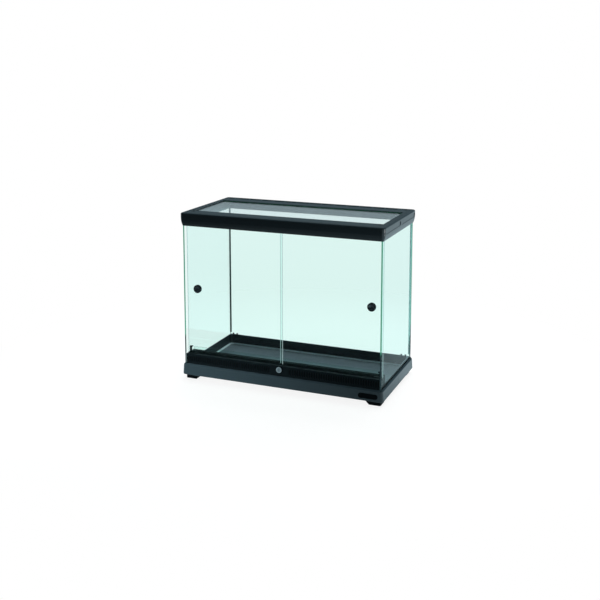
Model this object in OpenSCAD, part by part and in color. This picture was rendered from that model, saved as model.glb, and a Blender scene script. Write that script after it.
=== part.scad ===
// Glass reptile terrarium: a five-sided glass tank between a moulded base and a moulded top frame,
// with two bypassing glass doors that run on a vented front sill. The sill carries a cam lock.
// Axes: +X to the right, +Y to the back, +Z up. Origin: centre of the footprint, on the resting surface.

/* [Tank] */
// Outer width of the glass tank
glass_w = 600; // [480:10:900]
// Outer depth of the glass tank, front to back
glass_d = 296; // [250:2:450]
// Overall height, resting surface to the top of the top frame
overall_h = 494; // [380:2:700]
// Thickness of every glass pane
pane_t = 4; // [3:0.2:5]
// Assembly gap between pieces that slide into each other
fit = 0.3; // [0.2:0.05:0.5]
// Leg of the triangular silicone bead in each rear corner
seal_r = 4; // [3:0.5:6]

/* [Base] */
// Height of the feet under the base
foot_h = 13; // [8:0.5:16]
// Length of a foot where it meets the surface
foot_l = 33; // [26:1:40]
// How far a foot stands in from the outer edge of the skirt
foot_inset = 9; // [7:1:13]
// Diameter of the locating peg on each foot
peg_d = 8; // [6:0.5:10]
// Height of the outer skirt
skirt_h = 33; // [26:1:44]
// How far the foot of the skirt stands out from the glass
skirt_flare = 7; // [6:0.5:9]
// How much the skirt leans in towards its shoulder
skirt_lean = 1.6; // [0.8:0.1:2]
// Height of the skirt's sloping shoulder
shoulder_h = 5.5; // [4.5:0.5:10]
// Radius where the skirt's face turns into the shoulder
skirt_edge_r = 3; // [1.5:0.1:3.2]
// Moulded wall thickness of the skirt
skirt_wall = 1.6; // [1.2:0.1:1.8]
// Thickness of the ledge that the panes and the tray stand on
ledge_t = 2; // [1.5:0.5:4]
// Width of that ledge, measured in from the glass
ledge_w = 14; // [10:1:20]
// Spacing of the stiffening ribs inside the skirt
rib_pitch = 48; // [30:2:80]

/* [Floor tray] */
// Wall and floor thickness of the tray
tray_t = 2.4; // [1.6:0.2:3]
// Height of the tray walls above the ledge
tray_wall_h = 35; // [28:1:60]
// Radius where the tray floor turns up into its walls
tray_fillet = 5; // [3:0.5:8]
// Plan radius of the tray's inner corners
tray_corner_r = 14; // [10:1:20]

/* [Front sill] */
// Height of the sill above the skirt
sill_h = 29; // [25:1:40]
// Depth of the sill, front to back
sill_d = 45; // [43:1:60]
// Wall thickness of the sill
sill_wall = 2; // [1.5:0.1:2.5]
// Spacing of the vent slots
slot_pitch = 7.2; // [6.6:0.2:12]
// Width of a vent slot
slot_w = 3.2; // [2:0.2:4.4]
// Height of the vent slots in the sill's front
slot_h = 17; // [10:1:18]
// Plain stretch on each side of the lock
slot_start = 32; // [26:1:60]
// Plain stretch at each end of the sill
slot_end = 4; // [4:1:20]
// How far the clear guard strip stands above the sill
guard_rise = 9; // [5:0.5:14]
// Thickness of the guard strip
guard_t = 1.5; // [1:0.1:2]

/* [Door tracks] */
// Distance from the front edge of the tank to the middle of the two tracks
door_setback = 19; // [18:0.5:24]
// Running gap between a door and each side of its groove
groove_gap = 1; // [0.8:0.1:1.4]
// Thickness of the web between the two grooves
mid_web = 2; // [2:0.2:4]
// Thickness of the outer webs of a track
track_web = 1; // [0.8:0.1:1.4]
// Depth of the lower track below the sill's top
track_sink = 7; // [6:0.5:9]
// Height of the lower track above the sill's top
track_rise = 2; // [1:0.5:4]
// Height of the upper track
upper_track_h = 20; // [18:1:26]

/* [Doors] */
// How far each door reaches past the middle
door_lap = 4.5; // [3:0.5:8]
// Gap between a closed door and the side pane
door_side_gap = 0.5; // [0.4:0.1:1]
// How far a closed door reaches up into the top frame
door_engage = 8; // [6:0.5:10]
// Height of the glides under a door
glide_h = 3.3; // [3:0.1:4]
// Length of a glide
glide_l = 18; // [14:1:20]
// Running gap under a glide
glide_gap = 0.2; // [0.1:0.05:0.3]
// How far a fully opened door stops short of the tank's outer side
door_margin = 25.5; // [24:0.5:35]
// Height of the guide post above the sill
post_h = 17; // [10:1:24]
// Thickness of the guide post
post_t = 4.5; // [2:0.5:6]
// How far the hook at the top of the guide post reaches inwards
post_hook = 4; // [2:0.5:6]
// Outer diameter of the finger pull
pull_d = 24; // [20:1:30]
// Diameter of the hole for the pull in the glass
pull_hole_d = 20; // [16:1:24]
// Thickness of a pull's flange
pull_flange = 1.4; // [1:0.1:1.5]
// Distance from a door's outer edge to the middle of its pull
pull_inset = 32; // [26:1:50]
// Depth of the finger dish
dish_depth = 3.4; // [2:0.2:4]

/* [Lock] */
// Height of the lock's axis above the skirt
lock_rise = 18; // [16:0.5:18.5]
// Diameter of the lock's face
lock_face_d = 16.4; // [15.6:0.2:19.6]
// Outer diameter of the bezel around the face
bezel_d = 23; // [22:0.5:26]
// Diameter of the threaded barrel
barrel_d = 14; // [12:0.5:14]
// Diameter of the turning plug
plug_d = 9; // [8:0.5:10]
// Radial running clearance of the plug in the barrel
plug_gap = 0.06; // [0.03:0.01:0.1]
// Across flats of the barrel's nut
nut_flats = 17; // [16:0.5:17]

/* [Top frame] */
// Height of the top frame
frame_h = 38; // [34:1:50]
// How far the top frame stands out from the glass near its top
frame_flare = 7; // [5.5:0.5:9]
// How far its lower edge stands out from the glass
frame_lip = 2; // [1.9:0.1:3]
// Radius of the frame's top edge
frame_edge_r = 4.5; // [3:0.5:6]
// Plan radius of the corners of the frame and the skirt, at the glass
corner_r = 2.5; // [2:0.1:3]
// Thickness of the top rails
rail_t = 5; // [4.5:0.5:6]
// Width of the side rails, measured in from the glass
side_rail = 13; // [12:1:20]
// Width of the front rail behind the door tracks
front_rail = 17; // [16:1:40]
// Width of the rear rail, measured in from the glass
rear_rail = 59; // [56:1:80]
// Thickness of the wall on the inner side of the glass
lip_t = 2.5; // [2:0.1:3]
// How far the inner wall ends above the frame's lower edge
lip_up = 8; // [4:1:14]
// How deep the panels in the frame's sides are sunk, from its widest line
panel_depth = 1.3; // [0.9:0.1:2]
// Height of those panels
panel_h = 13; // [10:1:15]
// Thickness of the lip that holds the top pane down
pane_lip = 1.8; // [1.4:0.1:2.2]
// Thickness of the seal above the top pane
gasket_t = 0.5; // [0.3:0.1:1]
// How far the top pane reaches under the rails
pane_lap = 4.5; // [3:0.5:6]
// Thickness of the retaining frame below the top pane
retainer_t = 4; // [3:0.5:6]
// Spacing of the long slots in the rear vent
vent_pitch = 40; // [30:1:60]
// Width of the bar between two of those slots
vent_bar = 5; // [3:0.5:8]
// Width of those slots, front to back
vent_w = 9; // [6:0.5:10]
// Thickness of the vent mesh
mesh_t = 0.8; // [0.5:0.1:1]
// Shank diameter of the frame screws
screw_d = 3.5; // [3:0.1:4]

/* [Badge] */
// Width of the blank badge plate
badge_w = 56; // [40:1:60]
// Height of the blank badge plate
badge_h = 14; // [10:1:16]
// Distance from the end of the tank to the middle of the badge plate
badge_inset = 36; // [34:1:80]

/* [Hidden] */
$fn = 64;
eps = 0.01;

// Colours
black = [0.06, 0.07, 0.08];
charcoal = [0.16, 0.19, 0.21];
glass = [0.75, 0.93, 0.88, 0.35];
steel = [0.62, 0.66, 0.68];
seal_grey = [0.1, 0.28, 0.28];

// Plan
half_w = glass_w / 2;
half_d = glass_d / 2;
in_w = half_w - pane_t;
in_d = half_d - pane_t;
inset_w = in_w - fit;

// Levels
ledge_z = foot_h + ledge_t;
floor_z = ledge_z + tray_t;
skirt_top = foot_h + skirt_h;
tray_top = ledge_z + tray_wall_h;
sill_top = skirt_top + sill_h;
frame_z = overall_h - frame_h;
rail_z = overall_h - rail_t;
lip_z = frame_z + lip_up;

// Door tracks: index 0 is the front groove, which holds the left door; 1 is the rear groove
groove_w = pane_t + 2 * groove_gap;
track_d = 2 * groove_w + mid_web + 2 * track_web;
door_line = -half_d + door_setback;
track_y0 = door_line - track_d / 2;
track_y1 = door_line + track_d / 2;
groove_y = [door_line - (mid_web + groove_w) / 2, door_line + (mid_web + groove_w) / 2];
track_z0 = sill_top - track_sink;
track_top = sill_top + track_rise;
track_floor_t = 1;
groove_z = track_z0 + track_floor_t;
upper_track_z1 = frame_z + upper_track_h;
upper_track_cap = 2;
track_half = inset_w - fit;

// Base
foot_x = half_w + skirt_flare - foot_inset;
foot_y = half_d + skirt_flare - foot_inset;
peg_inset = 20;
peg_x = foot_x - peg_inset;
peg_y = foot_y - peg_inset;
foot_wall = 4;
foot_corner_r = 3;
skirt_chamfer = 0.8;
skirt_core = fit + 1.2;
rib_t = 1.2;
cross_bar = 16;
gusset = 24;
skirt_face = skirt_flare - skirt_lean;
skirt_seam = [1.4, 1.2];
skirt_rim = fit + skirt_seam[0];
skirt_hollow_h = skirt_h - shoulder_h - 1;
badge_t = 1.8;
badge_seat = 0.9;
badge_x = half_w - badge_inset;
badge_z = foot_h + (skirt_h - shoulder_h) / 2;
badge_back = -(half_d + skirt_face - badge_seat);

// Tray hooks, in pairs near the rear corners
hook_w = 5;
hook_h = 4;
hook_from_end = [11, 24];

// Sill
sill_y0 = -half_d;
sill_y1 = sill_y0 + sill_d;
trough_wall = 1.5;
slot_margin = 2;
slot_z0 = skirt_top + (sill_h - slot_h) / 2;
slot_count = floor((inset_w - slot_end - slot_start) / slot_pitch) + 1;
top_slot_y0 = track_y1 + trough_wall + fit + slot_margin;
guard_y1 = sill_y1 - sill_wall;
guard_half = inset_w - sill_wall - 1;
guard_depth = 12;
top_slot_y1 = guard_y1 - guard_t - slot_margin;

// Doors
door_z0 = groove_z + glide_gap + glide_h;
door_z1 = frame_z + door_engage;
door_out = in_w - door_side_gap;
pull_x = door_out - pull_inset;
pull_z = (door_z0 + door_z1) / 2;
stop_gap = 0.4;
stop_x = half_w - door_margin + stop_gap;
glide_cheek = 0.7;
glide_rise = 2.5;

// Lock
lock_z = skirt_top + lock_rise;
head_t = 3;
bezel_t = 1.2;
nut_t = 3;
barrel_gap = 0.15;
plug_face_d = plug_d + 2.2;
plug_face_t = 1.4;
cam_t = 2;
cam_hub_d = 10;
cam_drive_d = 5;
tab_t = 3;
tab_w = 4;
tab_gap = 0.5;
barrel_y1 = track_y0 - 2.4;
cam_gap = 0.1;
cam_y0 = barrel_y1 + cam_gap;
keyway_w = 1.4;
keyway_h = 6;
cam_screw_d = 2.4;
cam_screw_head = 6;
cam_screw_head_t = 1.6;
driver_slot = 0.8;
tab_r1 = door_z0 - tab_gap - lock_z;
tab_r0 = tab_r1 - tab_t;
tab_y1 = groove_y[1] + groove_w / 2 - 0.4;
notch_gap = 2;
notch_x0 = -(cam_hub_d / 2 + notch_gap);
notch_x1 = tab_r1 + notch_gap + 1;
glide_inner_x = [tab_w / 2 + notch_gap, notch_x1 + 1];
glide_end_gap = 1.5;

// Top
open_x = half_w - side_rail;
open_y0 = track_y1 + front_rail;
open_y1 = half_d - rear_rail;
pane_z1 = overall_h - pane_lip - gasket_t;
pane_z0 = pane_z1 - pane_t;
retainer_z0 = pane_z0 - retainer_t;
vent_end = 22;
vent_count = floor((2 * (open_x - vent_end)) / vent_pitch);
vent_half = vent_count * vent_pitch / 2;
vent_y = half_d - 15;
grille_w = 2 * vent_half + 14;
grille_d = vent_w + 11;
grille_t = 2.4;
grille_r = 1.5;
boss_d = 9;
screw_x = open_x - 4;
screw_y = [track_y1 + 6, vent_y];
retainer_y0 = track_y1 + 1;
retainer_y1 = in_d - fit - lip_t - 0.7;
retainer_x = in_w - fit - lip_t - 0.6;
boss_h = 6;
head_recess = 2.4;
screw_head_t = 1.6;
screw_tail = [11, 4];
front_floor_t = 2;

// Outer face of the top frame, and the sunk panels in its sides
frame_r = min(frame_edge_r, (corner_r + frame_flare) / 2 - 0.2);
frame_curve = [[0, 0], [0.21, 0.57], [0.42, 0.9], [0.63, 1]];
rim_inset = 4;
rim_groove = [1.2, 0.5];
panel_end = 10;
panel_gap = 6;
panel_z = frame_z + 0.645 * frame_h;

// A box between two corners
module span(lo, hi) {
    translate(lo) cube(hi - lo);
}

// A rectangle with true round corners
module rounded_rect(w, d, r) {
    square([w - 2 * r, d], center = true);
    square([w, d - 2 * r], center = true);
    for (x = [-1, 1], y = [-1, 1])
        translate([x * (w / 2 - r), y * (d / 2 - r)]) circle(r);
}

// A bar with half-round ends
module pill(w, h) {
    square([w - h, h], center = true);
    for (x = [-1, 1])
        translate([x * (w - h) / 2, 0]) circle(h / 2);
}

// Sweeps a section round a rectangle w by d with corner radius r; x = 0 is the rectangle's edge
module ring_sides(w, d, r) {
    for (side = [0:3]) {
        across = side % 2 == 0 ? w : d;
        along = (side % 2 == 0 ? d : w) - 2 * r;
        rotate(90 * side) translate([across / 2, along / 2, 0]) rotate([90, 0, 0])
            linear_extrude(along) children();
    }
}

module ring_corners(w, d, r) {
    for (corner = [0:3]) {
        x = (corner == 0 || corner == 3 ? 1 : -1) * (w / 2 - r);
        y = (corner < 2 ? 1 : -1) * (d / 2 - r);
        translate([x, y, 0]) rotate(90 * corner) rotate_extrude(angle = 90) translate([r, 0]) children();
    }
}

module ring(w, d, r) {
    ring_sides(w, d, r) children();
    ring_corners(w, d, r) children();
}

// The square-cornered room that the glass tank takes inside the base and the top frame
module glass_envelope(z0, z1) {
    span([-half_w - fit, -half_d - fit, z0], [half_w + fit, half_d + fit, z1]);
}

// A cylinder along Y, from y0 to y1, round the axis x, z
module rod_y(x, z, d, y0, y1) {
    translate([x, y0, z]) rotate([-90, 0, 0]) cylinder(d = d, h = y1 - y0);
}

// ---- Base ----

// Section of the skirt: a nearly upright face that turns into a sloping shoulder; hollow ones are
// open below
module skirt_section(hollow) {
    centre = [skirt_face - skirt_edge_r, skirt_top - shoulder_h];
    reach = [skirt_rim, skirt_top] - centre;
    turn = atan2(reach[1], reach[0]) - acos(skirt_edge_r / norm(reach));
    difference() {
        union() {
            polygon([[fit, foot_h], [skirt_flare - skirt_chamfer, foot_h],
                [skirt_flare, foot_h + skirt_chamfer], [skirt_face, centre[1]],
                centre + skirt_edge_r * [cos(turn), sin(turn)], [skirt_rim, skirt_top],
                [fit, skirt_top - skirt_seam[1]]]);
            translate(centre) circle(skirt_edge_r);
        }
        if (hollow)
            translate([skirt_core, foot_h - eps])
                square([skirt_face - skirt_wall - skirt_core, skirt_hollow_h + eps]);
    }
}

module skirt_ribs(length, face) {
    count = floor((length / 2 - 2 * corner_r) / rib_pitch);
    for (i = [-count:count])
        translate([i * rib_pitch - rib_t / 2, face + skirt_core - 0.2, foot_h + 3])
            cube([rib_t, skirt_face - skirt_wall - skirt_core + 0.4, skirt_hollow_h - 3 + 0.1]);
}

module ledge_plate() {
    inner_w = glass_w - 2 * ledge_w;
    bar_y = sill_y1 + 1;
    difference() {
        translate([0, 0, foot_h]) linear_extrude(ledge_t)
            rounded_rect(glass_w + 2 * fit + 2, glass_d + 2 * fit + 2, corner_r);
        difference() {
            span([-inner_w / 2, -half_d + ledge_w, foot_h - 1],
                [inner_w / 2, half_d - ledge_w, ledge_z + 1]);
            span([-half_w, bar_y - cross_bar / 2, foot_h - 2], [half_w, bar_y + cross_bar / 2, ledge_z + 2]);
            for (x = [-1, 1]) {
                translate([x * glass_w / 6 - cross_bar / 2, -half_d, foot_h - 2])
                    cube([cross_bar, glass_d, ledge_t + 4]);
                for (y = [-1, 1])
                    translate([x * (half_w - gusset), y * (half_d - gusset), foot_h])
                        cube([2 * gusset + 2, 2 * gusset + 2, 2 * ledge_t + 4], center = true);
            }
        }
        for (x = [-1, 1], y = [-1, 1])
            translate([x * peg_x, y * peg_y, foot_h - 1]) cylinder(d = peg_d + 2 * fit, h = ledge_t + 2);
    }
}

module badge_pocket(grow) {
    translate([badge_x, 0, badge_z]) rotate([90, 0, 0])
        linear_extrude(half_d + skirt_flare + 1)
            pill(badge_w + 2 * grow, badge_h + 2 * grow);
}

module base_frame() color(charcoal) {
    difference() {
        union() {
            difference() {
                union() {
                    ring_sides(glass_w, glass_d, corner_r) skirt_section(true);
                    ring_corners(glass_w, glass_d, corner_r) skirt_section(false);
                }
                glass_envelope(ledge_z, skirt_top + 1);
            }
            ledge_plate();
            for (side = [0, 180]) {
                rotate(side) skirt_ribs(glass_w, half_d);
                rotate(side + 90) skirt_ribs(glass_d, half_w);
            }
        }
        // seat of the badge, and the joint line at mid depth of each side
        intersection() {
            badge_pocket(fit);
            span([0, -half_d - skirt_flare - 1, 0], [half_w, badge_back, skirt_top]);
        }
        for (x = [-1, 1])
            translate([x * (half_w + skirt_flare), 0, foot_h + skirt_h / 2])
                cube([3, 0.8, skirt_h], center = true);
    }
}

module badge_plate() color(black) {
    intersection() {
        badge_pocket(0);
        span([0, badge_back - badge_t, 0], [half_w, badge_back, skirt_top]);
    }
}

// A foot: upright outside, tapered at 45 degrees inside, hollow below, with a peg on top
module foot(x, y) {
    top_l = foot_l + foot_h;
    scale_in = [[0, foot_h], [top_l, foot_h], [foot_l, 0], [0, 0]];
    color(black) mirror([x < 0 ? 1 : 0, 0, 0]) mirror([0, y < 0 ? 1 : 0, 0]) {
        translate([foot_x, foot_y, 0]) difference() {
            intersection() {
                mirror([1, 0, 0]) rotate([90, 0, 0])
                    linear_extrude(top_l + 1) polygon(scale_in);
                mirror([0, 1, 0]) rotate([90, 0, 90]) translate([0, 0, -top_l - 1])
                    linear_extrude(top_l + 1) polygon(scale_in);
                translate([-top_l / 2, -top_l / 2, 0]) linear_extrude(foot_h)
                    rounded_rect(top_l, top_l, foot_corner_r);
            }
            difference() {
                span([foot_wall - foot_l, foot_wall - foot_l, -1],
                    [-foot_wall, -foot_wall, foot_h - foot_wall]);
                translate([-foot_l / 2, -foot_l / 2, 0]) {
                    cube([foot_l, 2, 3 * foot_h], center = true);
                    cube([2, foot_l, 3 * foot_h], center = true);
                }
            }
        }
        translate([peg_x, peg_y, foot_h - eps]) cylinder(d = peg_d, h = ledge_t - 0.2 + eps);
    }
}

module foot_front_left() foot(-1, -1);
module foot_front_right() foot(1, -1);
module foot_rear_left() foot(-1, 1);
module foot_rear_right() foot(1, 1);

// Space inside the tray: straight walls, a swept fillet all round the floor and rounded corners
module tray_cavity(w, d, h) {
    r = tray_corner_r;
    f = tray_fillet;
    translate([0, 0, f]) linear_extrude(h) rounded_rect(w, d, r);
    linear_extrude(f + eps) rounded_rect(w - 2 * f, d - 2 * f, r - f);
    ring(w, d, r) translate([-f, f]) circle(f);
}

module floor_tray() color(black) {
    y0 = sill_y1 + fit;
    y1 = in_d - fit;
    depth = y1 - y0;
    difference() {
        span([-inset_w, y0, ledge_z], [inset_w, y1, tray_top]);
        translate([0, (y0 + y1) / 2, floor_z])
            tray_cavity(2 * inset_w - 2 * tray_t, depth - 2 * tray_t, tray_wall_h);
    }
    // small hooks on the rear wall, near the corners
    for (x = [-1, 1], from_end = hook_from_end)
        translate([x * (inset_w - from_end) - hook_w / 2, y1 - tray_t, tray_top - eps])
            cube([hook_w, tray_t, hook_h]);
}

// ---- Glass ----

module side_pane(x) {
    color(glass) span([x < 0 ? -half_w : in_w, -half_d, ledge_z], [x < 0 ? -in_w : half_w, half_d, rail_z]);
}
module left_pane() side_pane(-1);
module right_pane() side_pane(1);

module rear_pane() color(glass)
    span([-in_w, in_d, ledge_z], [in_w, half_d, rail_z]);

// Concave silicone beads between the side panes and the rear pane
module corner_seals() color(seal_grey) {
    z0 = tray_top + 5;
    for (x = [0, 1]) mirror([x, 0, 0]) translate([in_w - seal_r, in_d - seal_r, z0])
        linear_extrude(lip_z - z0 - 1) difference() {
            square(seal_r);
            circle(seal_r);
        }
}

// ---- Front sill ----

module sill_shell() {
    difference() {
        span([-inset_w, sill_y0, ledge_z], [inset_w, sill_y1, sill_top]);
        span([-inset_w + sill_wall, sill_y0 + sill_wall, ledge_z - 1],
            [inset_w - sill_wall, sill_y1 - sill_wall, sill_top - sill_wall]);
    }
    // trough that carries the lower track
    span([-inset_w + 1, track_y0 - fit - trough_wall, track_z0 - trough_wall],
        [inset_w - 1, track_y1 + fit + trough_wall, sill_top - 1]);
}

// Vent slots: upright through the front, and lengthwise across the top behind the doors
module sill_slots() {
    for (side = [-1, 1], i = [0:slot_count - 1]) {
        x = side * (slot_start + i * slot_pitch) - slot_w / 2;
        translate([x, sill_y0 - 1, slot_z0]) cube([slot_w, sill_wall + 2, slot_h]);
    }
    for (i = [-(slot_count + 2):slot_count + 2])
        translate([i * slot_pitch - slot_w / 2, top_slot_y0, sill_top - sill_wall - 1])
            cube([slot_w, top_slot_y1 - top_slot_y0, sill_wall + 2]);
}

// Room for the cam and its tab to swing up between the glides
module cam_notch() {
    span([notch_x0, barrel_y1 - 1, lock_z - tab_r1], [notch_x1, tab_y1 + 0.3, door_z0 - 0.1]);
}

module front_sill() color(black) {
    difference() {
        sill_shell();
        span([-half_w, track_y0 - fit, track_z0], [half_w, track_y1 + fit, sill_top + 1]);
        sill_slots();
        cam_notch();
        rod_y(0, lock_z, barrel_d + 2 * barrel_gap, sill_y0 - 1, sill_y0 + sill_wall + 1);
        // slot for the guard strip
        span([-guard_half - fit, guard_y1 - guard_t - 0.1, sill_top - sill_wall - 1],
            [guard_half + fit, guard_y1, sill_top + 1]);
    }
}

module front_vent_mesh() color(steel) {
    x0 = slot_start - slot_w - 1;
    x1 = inset_w - sill_wall - fit;
    y0 = sill_y0 + sill_wall;
    for (side = [0, 1]) mirror([side, 0, 0])
        span([x0, y0, slot_z0 - 2], [x1, y0 + mesh_t, slot_z0 + slot_h + 2]);
}

module sill_vent_mesh() color(steel) {
    x = (slot_count + 2) * slot_pitch + slot_w;
    z = sill_top - sill_wall;
    span([-x, top_slot_y0 - 0.9, z - mesh_t], [x, top_slot_y1 + 1.4, z]);
}

// A clear strip on edge behind the doors; it keeps the bedding out of the tracks
module sill_guard() color(glass)
    span([-guard_half, guard_y1 - guard_t, sill_top - guard_depth],
        [guard_half, guard_y1, sill_top + guard_rise]);

// Two grooves side by side, cut out of one bar along X
module grooves(z0, z1) {
    for (y = groove_y)
        span([-half_w, y - groove_w / 2, z0], [half_w, y + groove_w / 2, z1]);
}

module lower_track() color(black) {
    difference() {
        span([-track_half, track_y0, track_z0], [track_half, track_y1, track_top]);
        grooves(groove_z, track_top + 1);
        cam_notch();
    }
}

module upper_track() color(black) {
    difference() {
        span([-track_half, track_y0, frame_z], [track_half, track_y1, upper_track_z1]);
        grooves(frame_z - 1, upper_track_z1 - upper_track_cap);
    }
}

// Stop block in the groove that the other door opens into, with a hooked guide post at its end
module track_end(side, groove) {
    w = groove_w - 2 * fit;
    color(black) mirror([side < 0 ? 1 : 0, 0, 0]) translate([0, groove_y[groove], 0]) {
        span([stop_x, -w / 2, groove_z], [track_half, w / 2, track_top]);
        span([track_half - post_t, -w / 2, track_top - eps], [track_half, w / 2, sill_top + post_h]);
        span([track_half - post_t - post_hook, -w / 2, sill_top + post_h - 2.5],
            [track_half, w / 2, sill_top + post_h]);
    }
}
module track_end_left() track_end(-1, 1);
module track_end_right() track_end(1, 0);

// ---- Lock ----

module lock_bezel() color(black) {
    difference() {
        rod_y(0, lock_z, bezel_d, sill_y0 - bezel_t, sill_y0);
        rod_y(0, lock_z, lock_face_d + 0.4, sill_y0 - bezel_t - 1, sill_y0 + 1);
    }
}

module lock_barrel() color(steel) {
    bore = plug_d + 2 * plug_gap;
    difference() {
        union() {
            rod_y(0, lock_z, lock_face_d, sill_y0 - head_t, sill_y0);
            rod_y(0, lock_z, barrel_d, sill_y0 - eps, barrel_y1);
        }
        rod_y(0, lock_z, bore, sill_y0 - head_t - 1, barrel_y1 + 1);
        rod_y(0, lock_z, plug_face_d + 2 * plug_gap, sill_y0 - head_t - 1, sill_y0 - head_t + plug_face_t);
    }
}

module lock_nut() color(steel) {
    y0 = sill_y0 + sill_wall;
    difference() {
        translate([0, y0, lock_z]) rotate([-90, 0, 0])
            cylinder(d = nut_flats / cos(30), h = nut_t, $fn = 6);
        rod_y(0, lock_z, barrel_d + 0.1, y0 - 1, y0 + nut_t + 1);
    }
}

// The turning plug: face disc, keyway, body, drive boss and screw hole
module lock_plug() color(steel) {
    y0 = sill_y0 - head_t;
    difference() {
        union() {
            rod_y(0, lock_z, plug_face_d, y0 + 0.05, y0 + plug_face_t - 0.05);
            rod_y(0, lock_z, plug_d, y0 + plug_face_t - 0.06, cam_y0);
            rod_y(0, lock_z, cam_drive_d, cam_y0 - eps, cam_y0 + cam_t - 0.1);
        }
        span([-keyway_w / 2, y0 - 1, lock_z - keyway_h / 2], [keyway_w / 2, y0 + 8, lock_z + keyway_h / 2]);
        rod_y(0, lock_z, cam_screw_d + 0.2, cam_y0 - 2.5, cam_y0 + cam_t + 1);
    }
}

// The cam points along +X when the doors are free; turned up, its tab stands between the glides
module lock_cam() color(steel) {
    difference() {
        translate([0, 0, lock_z]) union() {
            translate([0, cam_y0, 0]) rotate([-90, 0, 0]) cylinder(d = cam_hub_d, h = cam_t);
            span([0, cam_y0, -tab_w / 2], [tab_r1, cam_y0 + cam_t, tab_w / 2]);
            span([tab_r0, cam_y0, -tab_w / 2], [tab_r1, tab_y1, tab_w / 2]);
        }
        rod_y(0, lock_z, cam_drive_d + 0.1, cam_y0 - 1, cam_y0 + cam_t + 1);
    }
}

module cam_screw() color(steel) {
    y1 = cam_y0 + cam_t;
    difference() {
        union() {
            rod_y(0, lock_z, cam_screw_head, y1, y1 + cam_screw_head_t);
            rod_y(0, lock_z, cam_screw_d, cam_y0 - 2, y1 + eps);
        }
        span([-2, y1 + cam_screw_head_t - 0.7, lock_z - driver_slot / 2],
            [2, y1 + 2, lock_z + driver_slot / 2]);
    }
}

// ---- Doors ----

// side -1 is the left door in the front groove, side 1 the right door in the rear groove
module door(side, groove) {
    y = groove_y[groove];
    color(glass) difference() {
        mirror([side < 0 ? 1 : 0, 0, 0])
            span([-door_lap, y - pane_t / 2, door_z0], [door_out, y + pane_t / 2, door_z1]);
        rod_y(side * pull_x, pull_z, pull_hole_d, y - pane_t, y + pane_t);
    }
}

// U-shaped nylon glides clipped under the two ends of a door
module glides(side, groove) {
    w = groove_w - 2 * fit;
    starts = [glide_inner_x[groove], inset_w - glide_end_gap - glide_l];
    color(charcoal) mirror([side < 0 ? 1 : 0, 0, 0]) translate([0, groove_y[groove], 0])
        for (x = starts) difference() {
            span([x, -w / 2, door_z0 - glide_h], [x + glide_l, w / 2, door_z0 + glide_rise]);
            span([x - 1, -pane_t / 2, door_z0], [x + glide_l + 1, pane_t / 2, door_z0 + glide_rise + 1]);
        }
}

// Front half of a finger pull: raised rim, spherical dish and a spigot through the glass
module pull_cup(side, groove) {
    y = groove_y[groove] - pane_t / 2;
    dish_d = pull_hole_d - 2.6;
    ball_r = (dish_d * dish_d / 4 + dish_depth * dish_depth) / (2 * dish_depth);
    color(black) difference() {
        union() {
            rod_y(side * pull_x, pull_z, pull_d, y - pull_flange, y);
            rod_y(side * pull_x, pull_z, pull_hole_d - 2 * fit, y - eps, y + pane_t - 0.2);
        }
        translate([side * pull_x, y - pull_flange + dish_depth - ball_r, pull_z]) sphere(ball_r);
    }
}

// Rear half: a flat disc with a shallow coin slot, cemented to the spigot
module pull_ring(side, groove) {
    y = groove_y[groove] + pane_t / 2;
    color(black) difference() {
        rod_y(side * pull_x, pull_z, pull_d, y, y + pull_flange);
        translate([side * pull_x, y + pull_flange, pull_z]) cube([pull_d * 0.6, 1, 2], center = true);
    }
}

module left_door() door(-1, 0);
module left_door_glides() glides(-1, 0);
module left_pull_cup() pull_cup(-1, 0);
module left_pull_ring() pull_ring(-1, 0);
module right_door() door(1, 1);
module right_door_glides() glides(1, 1);
module right_pull_cup() pull_cup(1, 1);
module right_pull_ring() pull_ring(1, 1);

// ---- Top frame ----

// Section of the frame's outer wall: it curves out from the lower edge and has a round top edge
module frame_section() {
    shoulder = overall_h - frame_r;
    intersection() {
        union() {
            polygon([[0, frame_z],
                for (step = frame_curve)
                    [frame_lip + step[1] * (frame_flare - frame_lip), frame_z + step[0] * frame_h],
                [frame_flare, shoulder], [0, shoulder]]);
            translate([-corner_r + 0.5, rail_z])
                square([frame_flare - frame_r + corner_r - 0.5, rail_t]);
            translate([frame_flare - frame_r, shoulder]) circle(frame_r);
        }
        union() {
            translate([fit, frame_z]) square([frame_flare, frame_h]);
            translate([-corner_r + 0.5, rail_z]) square([frame_flare + corner_r, rail_t]);
        }
    }
}

module top_plate() {
    seat = pane_lap + fit;
    difference() {
        translate([0, 0, rail_z]) linear_extrude(rail_t) difference() {
            square([glass_w - 1, glass_d - 1], center = true);
            translate([-open_x, open_y0]) square([2 * open_x, open_y1 - open_y0]);
            // window of the rear vent
            translate([-vent_half, vent_y - grille_d / 2 + 2]) square([2 * vent_half, grille_d - 4]);
        }
        // rebate that takes the top pane from below
        span([-open_x - seat, open_y0 - seat, rail_z - 1],
            [open_x + seat, open_y1 + seat, overall_h - pane_lip]);
    }
}

// Fine groove that runs round the top of the rails
module rim_line() {
    cut = rim_groove[0];
    translate([0, 0, overall_h - rim_groove[1]]) linear_extrude(1) difference() {
        square([glass_w - 2 * rim_inset + cut, glass_d - 2 * rim_inset + cut], center = true);
        square([glass_w - 2 * rim_inset - cut, glass_d - 2 * rim_inset - cut], center = true);
    }
}

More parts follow.
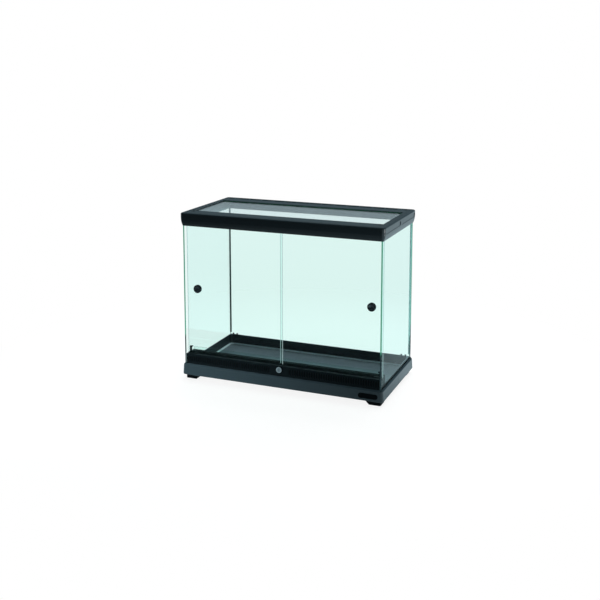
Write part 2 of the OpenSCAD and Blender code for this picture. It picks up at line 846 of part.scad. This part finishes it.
// Walls on the inner side of the panes, and the closed section of the front rail
module inner_walls() {
    x1 = in_w - fit;
    y1 = in_d - fit;
    for (x = [0, 1]) mirror([x, 0, 0]) span([x1 - lip_t, open_y0 - 2, lip_z], [x1, y1, rail_z + eps]);
    span([-x1, y1 - lip_t, lip_z], [x1, y1, rail_z + eps]);
    // front rail: floor with a slot for the track, and a rear wall
    difference() {
        span([-x1, -half_d - fit - eps, frame_z], [x1, open_y0, frame_z + front_floor_t]);
        span([-half_w, track_y0 - fit, frame_z - 1], [half_w, track_y1 + fit, frame_z + front_floor_t + 1]);
    }
    span([-x1, open_y0 - 2, frame_z], [x1, open_y0, retainer_z0 - 1]);
}

// Two long sunk panels in each side face, with a rib between them
module side_panels() {
    length = half_d + frame_flare - panel_end - panel_gap / 2;
    for (x = [0, 1], y = [-1, 1]) mirror([x, 0, 0])
        translate([half_w + frame_flare - panel_depth, y * (length + panel_gap) / 2, panel_z])
            rotate([90, 0, 90]) linear_extrude(panel_h) pill(length, panel_h);
}

module top_frame() color(charcoal) {
    difference() {
        union() {
            difference() {
                ring(glass_w, glass_d, corner_r) frame_section();
                glass_envelope(frame_z - 1, rail_z);
            }
            top_plate();
            inner_walls();
        }
        side_panels();
        rim_line();
        // seat of the vent grille
        span([-grille_w / 2 - fit, vent_y - grille_d / 2 - fit, overall_h - grille_t - mesh_t],
            [grille_w / 2 + fit, vent_y + grille_d / 2 + fit, overall_h + 1]);
        for (x = [-1, 1], y = screw_y) translate([x * screw_x, y, 0]) {
            translate([0, 0, rail_z - 1]) cylinder(d = screw_d + 0.4, h = rail_t + 2);
            translate([0, 0, overall_h - head_recess]) cylinder(d = 2 * screw_d + 0.4, h = head_recess + 1);
        }
        // tail of each rear screw recess
        for (x = [-1, 1]) translate([x * screw_x, screw_y[1] - screw_tail[1] / 2, overall_h - 1.2])
            cube([screw_tail[0], screw_tail[1], 2]);
    }
}

module top_pane() color(glass)
    span([-open_x - pane_lap, open_y0 - pane_lap, pane_z0],
        [open_x + pane_lap, open_y1 + pane_lap, pane_z1]);

module pane_gasket() color(black) {
    difference() {
        span([-open_x - pane_lap, open_y0 - pane_lap, pane_z1],
            [open_x + pane_lap, open_y1 + pane_lap, pane_z1 + gasket_t]);
        span([-open_x - 0.5, open_y0 - 0.5, pane_z1 - 1], [open_x + 0.5, open_y1 + 0.5, pane_z1 + 2]);
    }
}

// Clamps the top pane from below; its four bosses take the frame screws
module top_retainer() color(black) {
    difference() {
        union() {
            span([-retainer_x, retainer_y0, retainer_z0], [retainer_x, retainer_y1, pane_z0]);
            for (x = [-1, 1], y = screw_y) translate([x * screw_x, y, retainer_z0 - boss_h])
                cylinder(d = boss_d, h = rail_z - retainer_z0 + boss_h);
        }
        span([-open_x - 1, open_y0 + 1, retainer_z0 - 1], [open_x + 1, open_y1 - 1, pane_z0 + 1]);
        span([-vent_half, vent_y - vent_w / 2 - 3, retainer_z0 - 1],
            [vent_half, vent_y + vent_w / 2 + 1, pane_z0 + 1]);
        for (x = [-1, 1], y = screw_y) translate([x * screw_x, y, retainer_z0 - boss_h + 1])
            cylinder(d = screw_d + 0.2, h = rail_z);
    }
}

module rear_vent_grille() color(charcoal) {
    difference() {
        translate([0, vent_y, overall_h - grille_t]) linear_extrude(grille_t)
            rounded_rect(grille_w, grille_d, grille_r);
        for (i = [0:vent_count - 1])
            translate([(i + 0.5) * vent_pitch - vent_half, vent_y, overall_h - grille_t - 1])
                linear_extrude(grille_t + 2) rounded_rect(vent_pitch - vent_bar, vent_w, grille_r);
    }
}

module rear_vent_mesh() color(steel) {
    z = overall_h - grille_t - mesh_t;
    span([-grille_w / 2, vent_y - grille_d / 2, z], [grille_w / 2, vent_y + grille_d / 2, z + mesh_t]);
}

// Four screws that pull the retaining frame up against the top frame
module frame_screws() color(steel) {
    for (x = [-1, 1], y = screw_y) translate([x * screw_x, y, 0]) difference() {
        union() {
            translate([0, 0, overall_h - head_recess]) cylinder(d = 2 * screw_d - 0.4, h = screw_head_t);
            translate([0, 0, retainer_z0 - boss_h + 2])
                cylinder(d = screw_d, h = overall_h - head_recess - retainer_z0 + boss_h - 2 + eps);
        }
        translate([0, 0, overall_h - head_recess + screw_head_t]) {
            cube([4, driver_slot, 2], center = true);
            cube([driver_slot, 4, 2], center = true);
        }
    }
}

base_frame();
floor_tray();
foot_front_left();
foot_front_right();
foot_rear_left();
foot_rear_right();
badge_plate();
left_pane();
right_pane();
rear_pane();
corner_seals();
front_sill();
front_vent_mesh();
sill_vent_mesh();
sill_guard();
lower_track();
track_end_left();
track_end_right();
lock_bezel();
lock_barrel();
lock_nut();
lock_plug();
lock_cam();
cam_screw();
left_door();
left_door_glides();
left_pull_cup();
left_pull_ring();
right_door();
right_door_glides();
right_pull_cup();
right_pull_ring();
upper_track();
top_frame();
top_pane();
pane_gasket();
top_retainer();
rear_vent_grille();
rear_vent_mesh();
frame_screws();
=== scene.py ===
import math

import bpy
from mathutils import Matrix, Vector

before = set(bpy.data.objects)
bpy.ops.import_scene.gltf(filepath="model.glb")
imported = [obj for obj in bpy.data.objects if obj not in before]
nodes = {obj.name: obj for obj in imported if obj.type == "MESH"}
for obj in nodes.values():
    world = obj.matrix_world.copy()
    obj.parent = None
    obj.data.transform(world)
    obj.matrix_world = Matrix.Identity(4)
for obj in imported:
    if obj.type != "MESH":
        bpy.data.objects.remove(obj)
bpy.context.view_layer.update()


# ---------------------------------------------------------------- shader tools

class Wire:
    """A value in a material; arithmetic on it adds the Math nodes."""

    def __init__(self, look, socket):
        self.look = look
        self.socket = socket

    def __add__(self, other):
        return self.look.math("ADD", self, other)

    def __sub__(self, other):
        return self.look.math("SUBTRACT", self, other)

    def __rsub__(self, other):
        return self.look.math("SUBTRACT", other, self)

    def __mul__(self, other):
        return self.look.math("MULTIPLY", self, other)

    def __truediv__(self, other):
        return self.look.math("DIVIDE", self, other)

    def __pow__(self, other):
        return self.look.math("POWER", self, other)

    def __gt__(self, other):
        return self.look.math("GREATER_THAN", self, other)

    def __lt__(self, other):
        return self.look.math("LESS_THAN", self, other)

    __radd__ = __add__
    __rmul__ = __mul__


class Look:
    """One material, or the world, while its nodes are laid out."""

    def __init__(self, name, owner=None):
        self.owner = owner or bpy.data.materials.new(name)
        self.owner.use_nodes = True
        self.tree = self.owner.node_tree
        self.tree.nodes.clear()

    def node(self, kind, settings=None, **values):
        """Adds a node: its settings first, then the values or links of its sockets."""
        made = self.tree.nodes.new("ShaderNode" + kind)
        for key, value in (settings or {}).items():
            if key == "stops":
                fill_ramp(made.color_ramp, value)
            else:
                setattr(made, key, value)
        for key, value in values.items():
            name = key.replace("_", " ")
            index = int(name[2:]) if name.startswith("in") and name[2:].isdigit() else name
            self.put(made.inputs[index], value)
        return made

    def put(self, socket, value):
        if isinstance(value, Wire):
            self.tree.links.new(value.socket, socket)
        elif isinstance(value, bpy.types.NodeSocket):
            self.tree.links.new(value, socket)
        elif isinstance(value, (tuple, list)) and len(value) == 3 and socket.type == "RGBA":
            socket.default_value = (*value, 1.0)
        else:
            socket.default_value = value

    def out(self, made, name=0):
        return Wire(self, made.outputs[name])

    def math(self, operation, *terms, clamp=False):
        made = self.node("Math", {"operation": operation, "use_clamp": clamp})
        for socket, term in zip(made.inputs, terms):
            self.put(socket, term)
        return self.out(made)

    def clamp(self, value):
        return self.math("ADD", value, 0.0, clamp=True)

    def mix(self, amount, first, second):
        """Colour between first and second."""
        made = self.node("Mix", {"data_type": "RGBA", "clamp_factor": True})
        for index, value in ((0, amount), (6, first), (7, second)):
            self.put(made.inputs[index], value)
        return self.out(made, 2)

    def place(self):
        """Position on the piece, in metres; it moves with the piece."""
        return self.out(self.node("TexCoord"), "Object")

    def facing(self):
        """Direction that the surface faces, on the piece: x, y and z."""
        made = self.node("SeparateXYZ", Vector=self.out(self.node("TexCoord"), "Normal"))
        return [self.out(made, i) for i in range(3)]

    def coordinates(self):
        made = self.node("SeparateXYZ", Vector=self.place())
        return [self.out(made, i) for i in range(3)]

    def scaled(self, x, y, z):
        """Position on the piece, stretched along each axis, for streaks."""
        made = self.node("Mapping", Vector=self.place(), Scale=(x, y, z))
        return self.out(made)

    def noise(self, scale, detail=3.0, roughness=0.5, place=None):
        made = self.node("TexNoise", Vector=place or self.place(), Scale=scale, Detail=detail,
                         Roughness=roughness)
        return self.out(made, "Fac")

    def ramp(self, value, *stops):
        return self.out(self.node("ValToRGB", {"stops": stops}, Fac=value))

    def bump(self, height, distance, under=None):
        values = {"Height": height, "Distance": distance, "Strength": 1.0}
        if under is not None:
            values["Normal"] = under
        return self.out(self.node("Bump", **values))

    def finish(self, shader):
        target = "OutputWorld" if isinstance(self.owner, bpy.types.World) else "OutputMaterial"
        self.node(target, Surface=shader)
        return self.owner


def fill_ramp(ramp, stops):
    """Gives a ramp its stops, each a position and a grey."""
    while len(ramp.elements) < len(stops):
        ramp.elements.new(0.5)
    for element, (position, tone) in zip(ramp.elements, stops):
        element.position = position
        element.color = (tone, tone, tone, 1.0)


def dress(material, *names):
    """Puts one material on the named pieces."""
    for name in names:
        mesh = nodes[name].data
        mesh.materials.clear()
        mesh.materials.append(material)


# ------------------------------------------------------------------- materials

COOL = (0.72, 0.92, 1.0)
# Tone of top faces and rounded edges: dust, with painted top light and a painted edge highlight
DUST_AND_HIGHLIGHT_TONE = (0.12, 0.175, 0.20)
# Painted shade round the screw recesses, and how soft its rim is
RECESS_PAINTED_SHADE = (0.001, 0.0016, 0.002)
RECESS_BLUR = 0.0012
# Cells of noise to the metre
DRIFT_CELLS = 9.0
HAZE_CELLS = 60.0
GRIT_CELLS = 2600.0
STREAK_CELLS = (3.0, 420.0, 420.0)


def moulded_plastic(name, dark, light, roughness, grain, specular=0.5, coat=0.0, dust_and_top_light=0.1,
                    gloss=0.3, glossy_top=0.0, edge_highlight_amount=0.0, painted_shade_discs=(), dust_and_top_light_tone=DUST_AND_HIGHLIGHT_TONE,
                    edge_highlight_tone=DUST_AND_HIGHLIGHT_TONE):
    """Moulded plastic: fine grain, slow drift of tone, upright faces glossier than the top ones,
    top faces lighter from dust and painted top light, rounded edges lighter as a painted
    highlight, and painted shade as dark discs round the recesses, each given as centre x,
    centre y and radius."""
    look = Look(name)
    drift = look.noise(DRIFT_CELLS, 4.0, 0.6)
    grit = look.noise(GRIT_CELLS, 2.0, 0.55)
    haze = look.noise(HAZE_CELLS, 5.0, 0.65)
    streak = look.noise(1.0, 4.0, 0.6, look.scaled(*STREAK_CELLS))
    up = look.clamp(look.facing()[2])
    tone = look.mix(drift * 0.5 + haze * 0.2 + streak * 0.3, dark, light)
    # Top faces lighter: partly dust, partly painted top light
    top_dust_and_light = look.clamp(up * (haze * 0.4 + streak * 0.08 + 0.27) * dust_and_top_light)
    colour = look.mix(top_dust_and_light, tone, dust_and_top_light_tone)
    # Painted highlight: faces half way between upright and flat, the rounded edges, go lighter
    edge = look.clamp(up * (1.0 - up) * 4.0 * edge_highlight_amount * (haze + 0.5))
    colour = look.mix(edge, colour, edge_highlight_tone)
    x, y, _ = look.coordinates()
    # Painted shade: a dark disc round each listed recess, soft at its rim
    for cx, cy, radius in painted_shade_discs:
        away = look.math("SQRT", (x - cx) ** 2.0 + (y - cy) ** 2.0)
        unshaded = look.clamp((away - radius) / RECESS_BLUR)
        colour = look.mix(unshaded, RECESS_PAINTED_SHADE, colour)
    rough = look.clamp(roughness + (haze - 0.5) * 0.12 + (streak - 0.5) * 0.04)
    shine = look.clamp(1.0 - up * 1.6 + glossy_top) * coat
    relief = look.bump(grit, grain, under=look.bump(streak, grain * 0.6))
    shader = look.node("BsdfPrincipled", Base_Color=colour, Roughness=rough, Coat_Weight=shine,
                       Coat_Roughness=gloss, Normal=relief)
    shader.inputs["Specular IOR Level"].default_value = specular
    shader.inputs["Specular Tint"].default_value = (*COOL, 1.0)
    return look.finish(look.out(shader))


GLASS_LOW = (0.832, 0.952, 0.926)
GLASS_HIGH = (0.855, 0.966, 0.945)
GLASS_TOP = 0.5
GLASS_SHADE = (0.90, 0.975, 0.955)
# Ground edges: body colour, the dim painted glow below the base, and painted glints in the glow
GROUND_BODY = (0.01, 0.03, 0.03)
GROUND_UNLIT = (0.004, 0.010, 0.014)
GROUND_GLINT_GLOW = (0.5, 0.7, 0.65)
SMEAR_GLOSS = 0.004
LIT_BLUR = 0.01


def float_glass(name, axis, front_edge_glow, far_edge_glow, lit_from=0.106, clarity=1.0, ior=1.13):
    """Clear float glass; axis is the direction across the pane. The ground edges glow with
    painted light, standing in for light that travels inside the pane, above the height where
    the black base cuts it off; grind noise adds painted glints to that glow."""
    look = Look(name)
    facing = look.facing()
    on_edge = look.math("ABSOLUTE", facing[axis]) < 0.5
    z = look.coordinates()[2]
    smear = look.noise(7.0, 5.0, 0.7)
    film = look.clamp((smear - 0.5) * 3.0) * SMEAR_GLOSS
    low, high = [tuple(c ** (1.0 / clarity) for c in tone) for tone in (GLASS_LOW, GLASS_HIGH)]
    tint = look.mix(look.clamp(z / GLASS_TOP), low, high)
    glass = look.node("BsdfPrincipled", Base_Color=tint, Roughness=film, IOR=ior)
    glass.inputs["Transmission Weight"].default_value = 1.0
    # Painted glow on the ground edges, dim below the base, with painted glints from the grind
    lit = look.clamp((z - lit_from) / LIT_BLUR)
    grind = look.noise(900.0, 3.0, 0.6)
    piped = look.mix(facing[1] < -0.5, far_edge_glow, front_edge_glow)
    glow = look.mix(lit, GROUND_UNLIT, look.mix(grind * 0.12, piped, GROUND_GLINT_GLOW))
    ground = look.node("BsdfPrincipled", Base_Color=GROUND_BODY, Emission_Color=glow,
                       Roughness=look.clamp(0.3 + grind * 0.2), Normal=look.bump(grind, 0.00005))
    ground.inputs["Emission Strength"].default_value = 1.0
    pane = look.node("MixShader", in0=on_edge, in1=look.out(glass), in2=look.out(ground))
    clear = look.node("BsdfTransparent", Color=GLASS_SHADE)
    paths = look.node("LightPath")
    mixed = look.node("MixShader", in0=look.out(paths, "Is Shadow Ray"), in1=look.out(pane),
                      in2=look.out(clear))
    return look.finish(look.out(mixed))


LOCK_HEIGHT = 0.064
TURNING_CELLS = 9000.0
WEAR_SHADE = 0.78


def bright_metal(name, tone, roughness, turned=0.0):
    """Plated metal with fine turning marks round the lock's axis."""
    look = Look(name)
    x, y, z = look.coordinates()
    radius = look.math("SQRT", x ** 2.0 + (z - LOCK_HEIGHT) ** 2.0)
    marks = look.math("SINE", radius * TURNING_CELLS)
    wear = look.noise(420.0, 4.0, 0.6)
    colour = look.mix(wear, tone, tuple(WEAR_SHADE * c for c in tone))
    shader = look.node(
        "BsdfPrincipled", Base_Color=colour, Metallic=1.0,
        Roughness=look.clamp(roughness + (wear - 0.5) * 0.2),
        Normal=look.bump(marks * turned + wear * 0.3, 0.00004))
    return look.finish(look.out(shader))


WIRE_PITCH = 0.0011
HOLE = (0.0008, 0.001, 0.0012)
WIRE_DARK = (0.003, 0.004, 0.005)
WIRE_LIGHT = (0.008, 0.010, 0.011)


def woven_mesh(name):
    """Black-coated mesh: two sets of wires, with dark holes between them."""
    look = Look(name)
    x, y, z = look.coordinates()
    turns = math.pi / WIRE_PITCH
    warp = look.math("ABSOLUTE", look.math("SINE", x * turns))
    weft = look.math("ABSOLUTE", look.math("SINE", (y + z) * turns))
    wires = look.math("MAXIMUM", warp, weft)
    solid = look.ramp(wires, (0.62, 0.0), (0.78, 1.0))
    dirt = look.noise(90.0, 4.0)
    colour = look.mix(solid, HOLE, look.mix(dirt, WIRE_DARK, WIRE_LIGHT))
    shader = look.node(
        "BsdfPrincipled", Base_Color=colour, Roughness=look.clamp(0.5 + dirt * 0.3),
        Normal=look.bump(wires, 0.0003))
    shader.inputs["Specular IOR Level"].default_value = 0.1
    return look.finish(look.out(shader))


def soft_rubber(name, colour, lighter, roughness=0.5, right=None):
    """Rubber or silicone; right is its tone on the right half, where light shines through it."""
    look = Look(name)
    spread = look.noise(120.0, 4.0, 0.6)
    if right:
        side = look.coordinates()[0] > 0.0
        colour, lighter = look.mix(side, colour, right), look.mix(side, lighter, right)
    shader = look.node(
        "BsdfPrincipled", Base_Color=look.mix(spread, colour, lighter),
        Roughness=look.clamp(roughness + (spread - 0.5) * 0.2), Normal=look.bump(spread, 0.00015))
    return look.finish(look.out(shader))


# Radius of the painted shade disc round each frame screw
SCREW_SHADE_RADIUS = 0.0065
screw_shade_discs = [(x, y, SCREW_SHADE_RADIUS) for x in (-0.283, 0.283) for y in (-0.115, 0.133)]
# Charcoal: dark discs round the four screw heads are painted shade, and its rounded edges get a
# faint painted highlight
charcoal = moulded_plastic(
    "charcoal_moulding", (0.013, 0.025, 0.031), (0.019, 0.034, 0.042), 0.6, 0.00004, 0.06,
    dust_and_top_light=0.05, coat=0.9, gloss=0.28, edge_highlight_amount=0.12, painted_shade_discs=screw_shade_discs)
black = moulded_plastic(
    "black_moulding", (0.0028, 0.0050, 0.0060), (0.0044, 0.0074, 0.0088), 0.5, 0.00003, 0.1,
    dust_and_top_light=0.03)
# Tray: its floor is painted much lighter, mostly painted top light with some dust, and its rounded
# fillets get a bright painted highlight
tray = moulded_plastic(
    "tray_moulding", (0.008, 0.014, 0.017), (0.013, 0.022, 0.026), 0.3, 0.00001, 0.3,
    dust_and_top_light=0.95, coat=0.5, gloss=0.1, glossy_top=1.0, edge_highlight_amount=1.6,
    dust_and_top_light_tone=(0.27, 0.30, 0.36), edge_highlight_tone=(0.75, 0.82, 0.88))
matt = moulded_plastic(
    "matt_black", (0.0012, 0.0018, 0.0022), (0.002, 0.003, 0.0036), 0.45, 0.00001, 0.06,
    dust_and_top_light=0.02)
glossy = moulded_plastic(
    "gloss_black", (0.008, 0.014, 0.017), (0.012, 0.019, 0.023), 0.12, 0.000006,
    coat=0.5, dust_and_top_light=0.05, gloss=0.05)

dress(charcoal, "base_frame", "top_frame", "rear_vent_grille")
dress(black, "front_sill", "lower_track", "upper_track", "track_end_left", "track_end_right",
      "lock_bezel", "top_retainer", "frame_screws")
dress(tray, "floor_tray")
dress(matt, "badge_plate", "foot_front_left", "foot_front_right", "foot_rear_left",
      "foot_rear_right")
dress(glossy, "left_pull_cup", "left_pull_ring", "right_pull_cup", "right_pull_ring")

# Axis across a pane: 0 for the sides, 1 for the panes that face the front, 2 for the top
# Colours of the painted glow on the ground edges
GREEN_EDGE_GLOW = (0.03, 0.25, 0.145)
TEAL_EDGE_GLOW = (0.26, 0.56, 0.54)
DOOR_EDGE_GLOW = (0.30, 0.42, 0.42)
dress(float_glass("glass_left_side", 0, GREEN_EDGE_GLOW, TEAL_EDGE_GLOW, 0.125, ior=1.22), "left_pane")
dress(float_glass("glass_right_side", 0, GREEN_EDGE_GLOW, TEAL_EDGE_GLOW, 0.14, ior=1.06), "right_pane")
dress(float_glass("glass_facing_front", 1, TEAL_EDGE_GLOW, TEAL_EDGE_GLOW), "rear_pane", "sill_guard")
dress(float_glass("door_glass", 1, DOOR_EDGE_GLOW, DOOR_EDGE_GLOW, 0.0), "left_door", "right_door")
dress(float_glass("glass_facing_up", 2, GREEN_EDGE_GLOW, GREEN_EDGE_GLOW, clarity=3.0, ior=1.16),
      "top_pane")

dress(soft_rubber("silicone_bead", (0.004, 0.03, 0.035), (0.01, 0.05, 0.055), 0.3,
                  right=(0.35, 0.66, 0.63)), "corner_seals")
dress(soft_rubber("seal_strip", (0.004, 0.004, 0.004), (0.01, 0.01, 0.01)), "pane_gasket")
dress(soft_rubber("nylon_glide", (0.015, 0.015, 0.016), (0.03, 0.03, 0.03), 0.45),
      "left_door_glides", "right_door_glides")
dress(woven_mesh("vent_mesh"), "front_vent_mesh", "sill_vent_mesh", "rear_vent_mesh")
dress(bright_metal("lock_plating", (0.80, 0.88, 0.90), 0.42, 0.4), "lock_barrel", "lock_nut")
dress(bright_metal("plug_plating", (0.50, 0.57, 0.60), 0.42, 0.4), "lock_plug")
dress(bright_metal("zinc_plating", (0.3, 0.31, 0.32), 0.35), "lock_cam", "cam_screw")


# ----------------------------------------------------------- floor and backdrop

# Brightness that mirrored rays meet: the floor behind and in front of the terrarium, the
# backdrop, the ceiling and the rest of the room; the last two are for scattered rays
FLOOR_GLEAM = 0.8
FLOOR_FRONT = 0.27
BACK_GLEAM = 0.55
TOP_GLEAM = 0.3
ROOM_DARK = 0.11
BACK_DIM = 0.3
ROOM_DIM = 0.09
BRIGHTEST = 2.0
BLACK = (0.0, 0.0, 0.0)

FLOOR_HALF = 6.0
PAPER_DARK = (0.21, 0.21, 0.21)
PAPER_LIGHT = (0.23, 0.23, 0.23)
PAPER_GLOW = 0.88
PAPER_DULL = (0.16, 0.19, 0.2)
SHADOW_REACH = 0.5


def ray_kinds(look):
    """Masks for a ray that goes straight to the camera, also through glass, and for one that a
    glossy surface or a plain one has sent on."""
    paths = look.node("LightPath")
    scattered = look.clamp(look.out(paths, "Diffuse Depth"))
    mirrored = look.clamp(look.out(paths, "Glossy Depth"))
    shown = look.clamp(look.out(paths, "Is Camera Ray") + look.out(paths, "Is Glossy Ray")
                       + look.out(paths, "Is Transmission Ray"))
    return shown * (1.0 - mirrored) * (1.0 - scattered), mirrored * (1.0 - scattered)


def cool_light(look, kind, amount):
    """Emission or background of the cool tone, its strength worked into the colour."""
    colour = look.mix(amount / BRIGHTEST, BLACK, COOL)
    return look.out(look.node(kind, Color=colour, Strength=BRIGHTEST))


def backdrop_material():
    """White to the eye, with the object's soft shadow near it; for reflections it is bright behind
    and beside the object and dark in front of it, and it throws little light back."""
    look = Look("pale_floor")
    x, y, _ = look.coordinates()
    straight, mirrored = ray_kinds(look)
    radius = look.math("SQRT", x ** 2.0 + y ** 2.0)
    paper = look.mix(look.noise(3.0, 3.0), PAPER_DARK, PAPER_LIGHT)
    lit = look.out(look.node("BsdfDiffuse", Color=paper))
    glow = look.out(look.node("Emission", Strength=PAPER_GLOW))
    shade = look.out(look.node("AddShader", in0=lit, in1=glow))
    white = look.out(look.node("Emission", Strength=1.0))
    far = look.clamp((radius - SHADOW_REACH) / 0.5)
    view = look.out(look.node("MixShader", in0=far, in1=shade, in2=white))
    behind = look.clamp(look.math("MAXIMUM", (y + 0.15) / 0.3, (x - 0.25) / 0.2))
    near = look.clamp((1.1 - radius) / 0.4)
    gleam = cool_light(look, "Emission", behind * FLOOR_GLEAM + near * FLOOR_FRONT + ROOM_DARK)
    dull = look.out(look.node("BsdfDiffuse", Color=PAPER_DULL))
    unseen = look.out(look.node("MixShader", in0=mirrored, in1=dull, in2=gleam))
    return look.finish(look.out(look.node("MixShader", in0=straight, in1=unseen, in2=view)))


def make_floor():
    """A wide pale sheet under the terrarium."""
    mesh = bpy.data.meshes.new("floor")
    corners = [(x * FLOOR_HALF, y * FLOOR_HALF, 0.0)
               for x, y in ((-1, -1), (1, -1), (1, 1), (-1, 1))]
    mesh.from_pydata(corners, [], [(0, 1, 2, 3)])
    mesh.materials.append(backdrop_material())
    floor = bpy.data.objects.new("floor", mesh)
    bpy.context.scene.collection.objects.link(floor)


def make_world():
    """A white backdrop, which glass and gloss show too; the room in front of it is darker."""
    world = bpy.data.worlds.new("studio")
    bpy.context.scene.world = world
    look = Look("studio", world)
    made = look.node("SeparateXYZ", Vector=look.out(look.node("TexCoord"), "Generated"))
    back, up = look.out(made, 1), look.out(made, 2)
    behind = look.clamp((back + 0.25) / 0.6)
    overhead = look.clamp((up - 0.35) / 0.4)
    straight, mirrored = ray_kinds(look)
    white = look.out(look.node("Background", Color=(1.0, 1.0, 1.0), Strength=1.0))
    gleam = cool_light(look, "Background",
                       behind * BACK_GLEAM + overhead * TOP_GLEAM + ROOM_DARK)
    dim = cool_light(look, "Background", behind * BACK_DIM + ROOM_DIM)
    unseen = look.out(look.node("MixShader", in0=mirrored, in1=dim, in2=gleam))
    look.finish(look.out(look.node("MixShader", in0=straight, in1=unseen, in2=white)))


def add_softbox(name, place, target, width, height, power, spread=180.0, mirrored=True):
    """A soft lamp: sizes in metres, power in watts, spread in degrees. Neither the camera nor
    a ray through glass sees it, and one with mirrored off doesn't show in gloss either."""
    lamp = bpy.data.lights.new(name, "AREA")
    lamp.shape = "RECTANGLE"
    lamp.size = width
    lamp.size_y = height
    lamp.energy = power
    lamp.spread = math.radians(spread)
    box = bpy.data.objects.new(name, lamp)
    box.location = place
    box.rotation_euler = (Vector(target) - Vector(place)).to_track_quat("-Z", "Y").to_euler()
    box.visible_camera = False
    box.visible_glossy = mirrored
    box.visible_transmission = False
    bpy.context.scene.collection.objects.link(box)


make_floor()
make_world()
TANK_MIDDLE = (0.0, 0.0, 0.2)
SKIRT_FRONT = (-0.15, -0.155, 0.03)
add_softbox("top_light", (0.0, 0.9, 2.3), TANK_MIDDLE, 2.0, 1.2, 40.0)
add_softbox("right_light", (2.0, 0.0, 0.17), TANK_MIDDLE, 0.5, 0.5, 11.0)
add_softbox("low_light", (-0.75, -0.75, 0.05), SKIRT_FRONT, 0.4, 0.06, 1.1, spread=50.0,
            mirrored=False)


# ---------------------------------------------------------------------- camera

FRAME_PX = 600
FOCAL_PX = 931.1
SENSOR_MM = 36.0
LENS_RISE = -0.2
CLIP_NEAR = 0.05
CAMERA_PLACE = (1.0027, -2.4631, 0.9643)
PITCH_DOWN = 0.1418
TURN = 0.3854


def make_camera():
    lens = bpy.data.cameras.new("camera")
    lens.sensor_width = SENSOR_MM
    lens.lens = FOCAL_PX / FRAME_PX * SENSOR_MM
    lens.shift_y = LENS_RISE
    lens.clip_start = CLIP_NEAR
    camera = bpy.data.objects.new("camera", lens)
    camera.location = CAMERA_PLACE
    camera.rotation_euler = (math.pi / 2 - PITCH_DOWN, 0.0, TURN)
    bpy.context.scene.collection.objects.link(camera)
    bpy.context.scene.camera = camera


make_camera()
bpy.context.scene.view_settings.view_transform = "Standard"
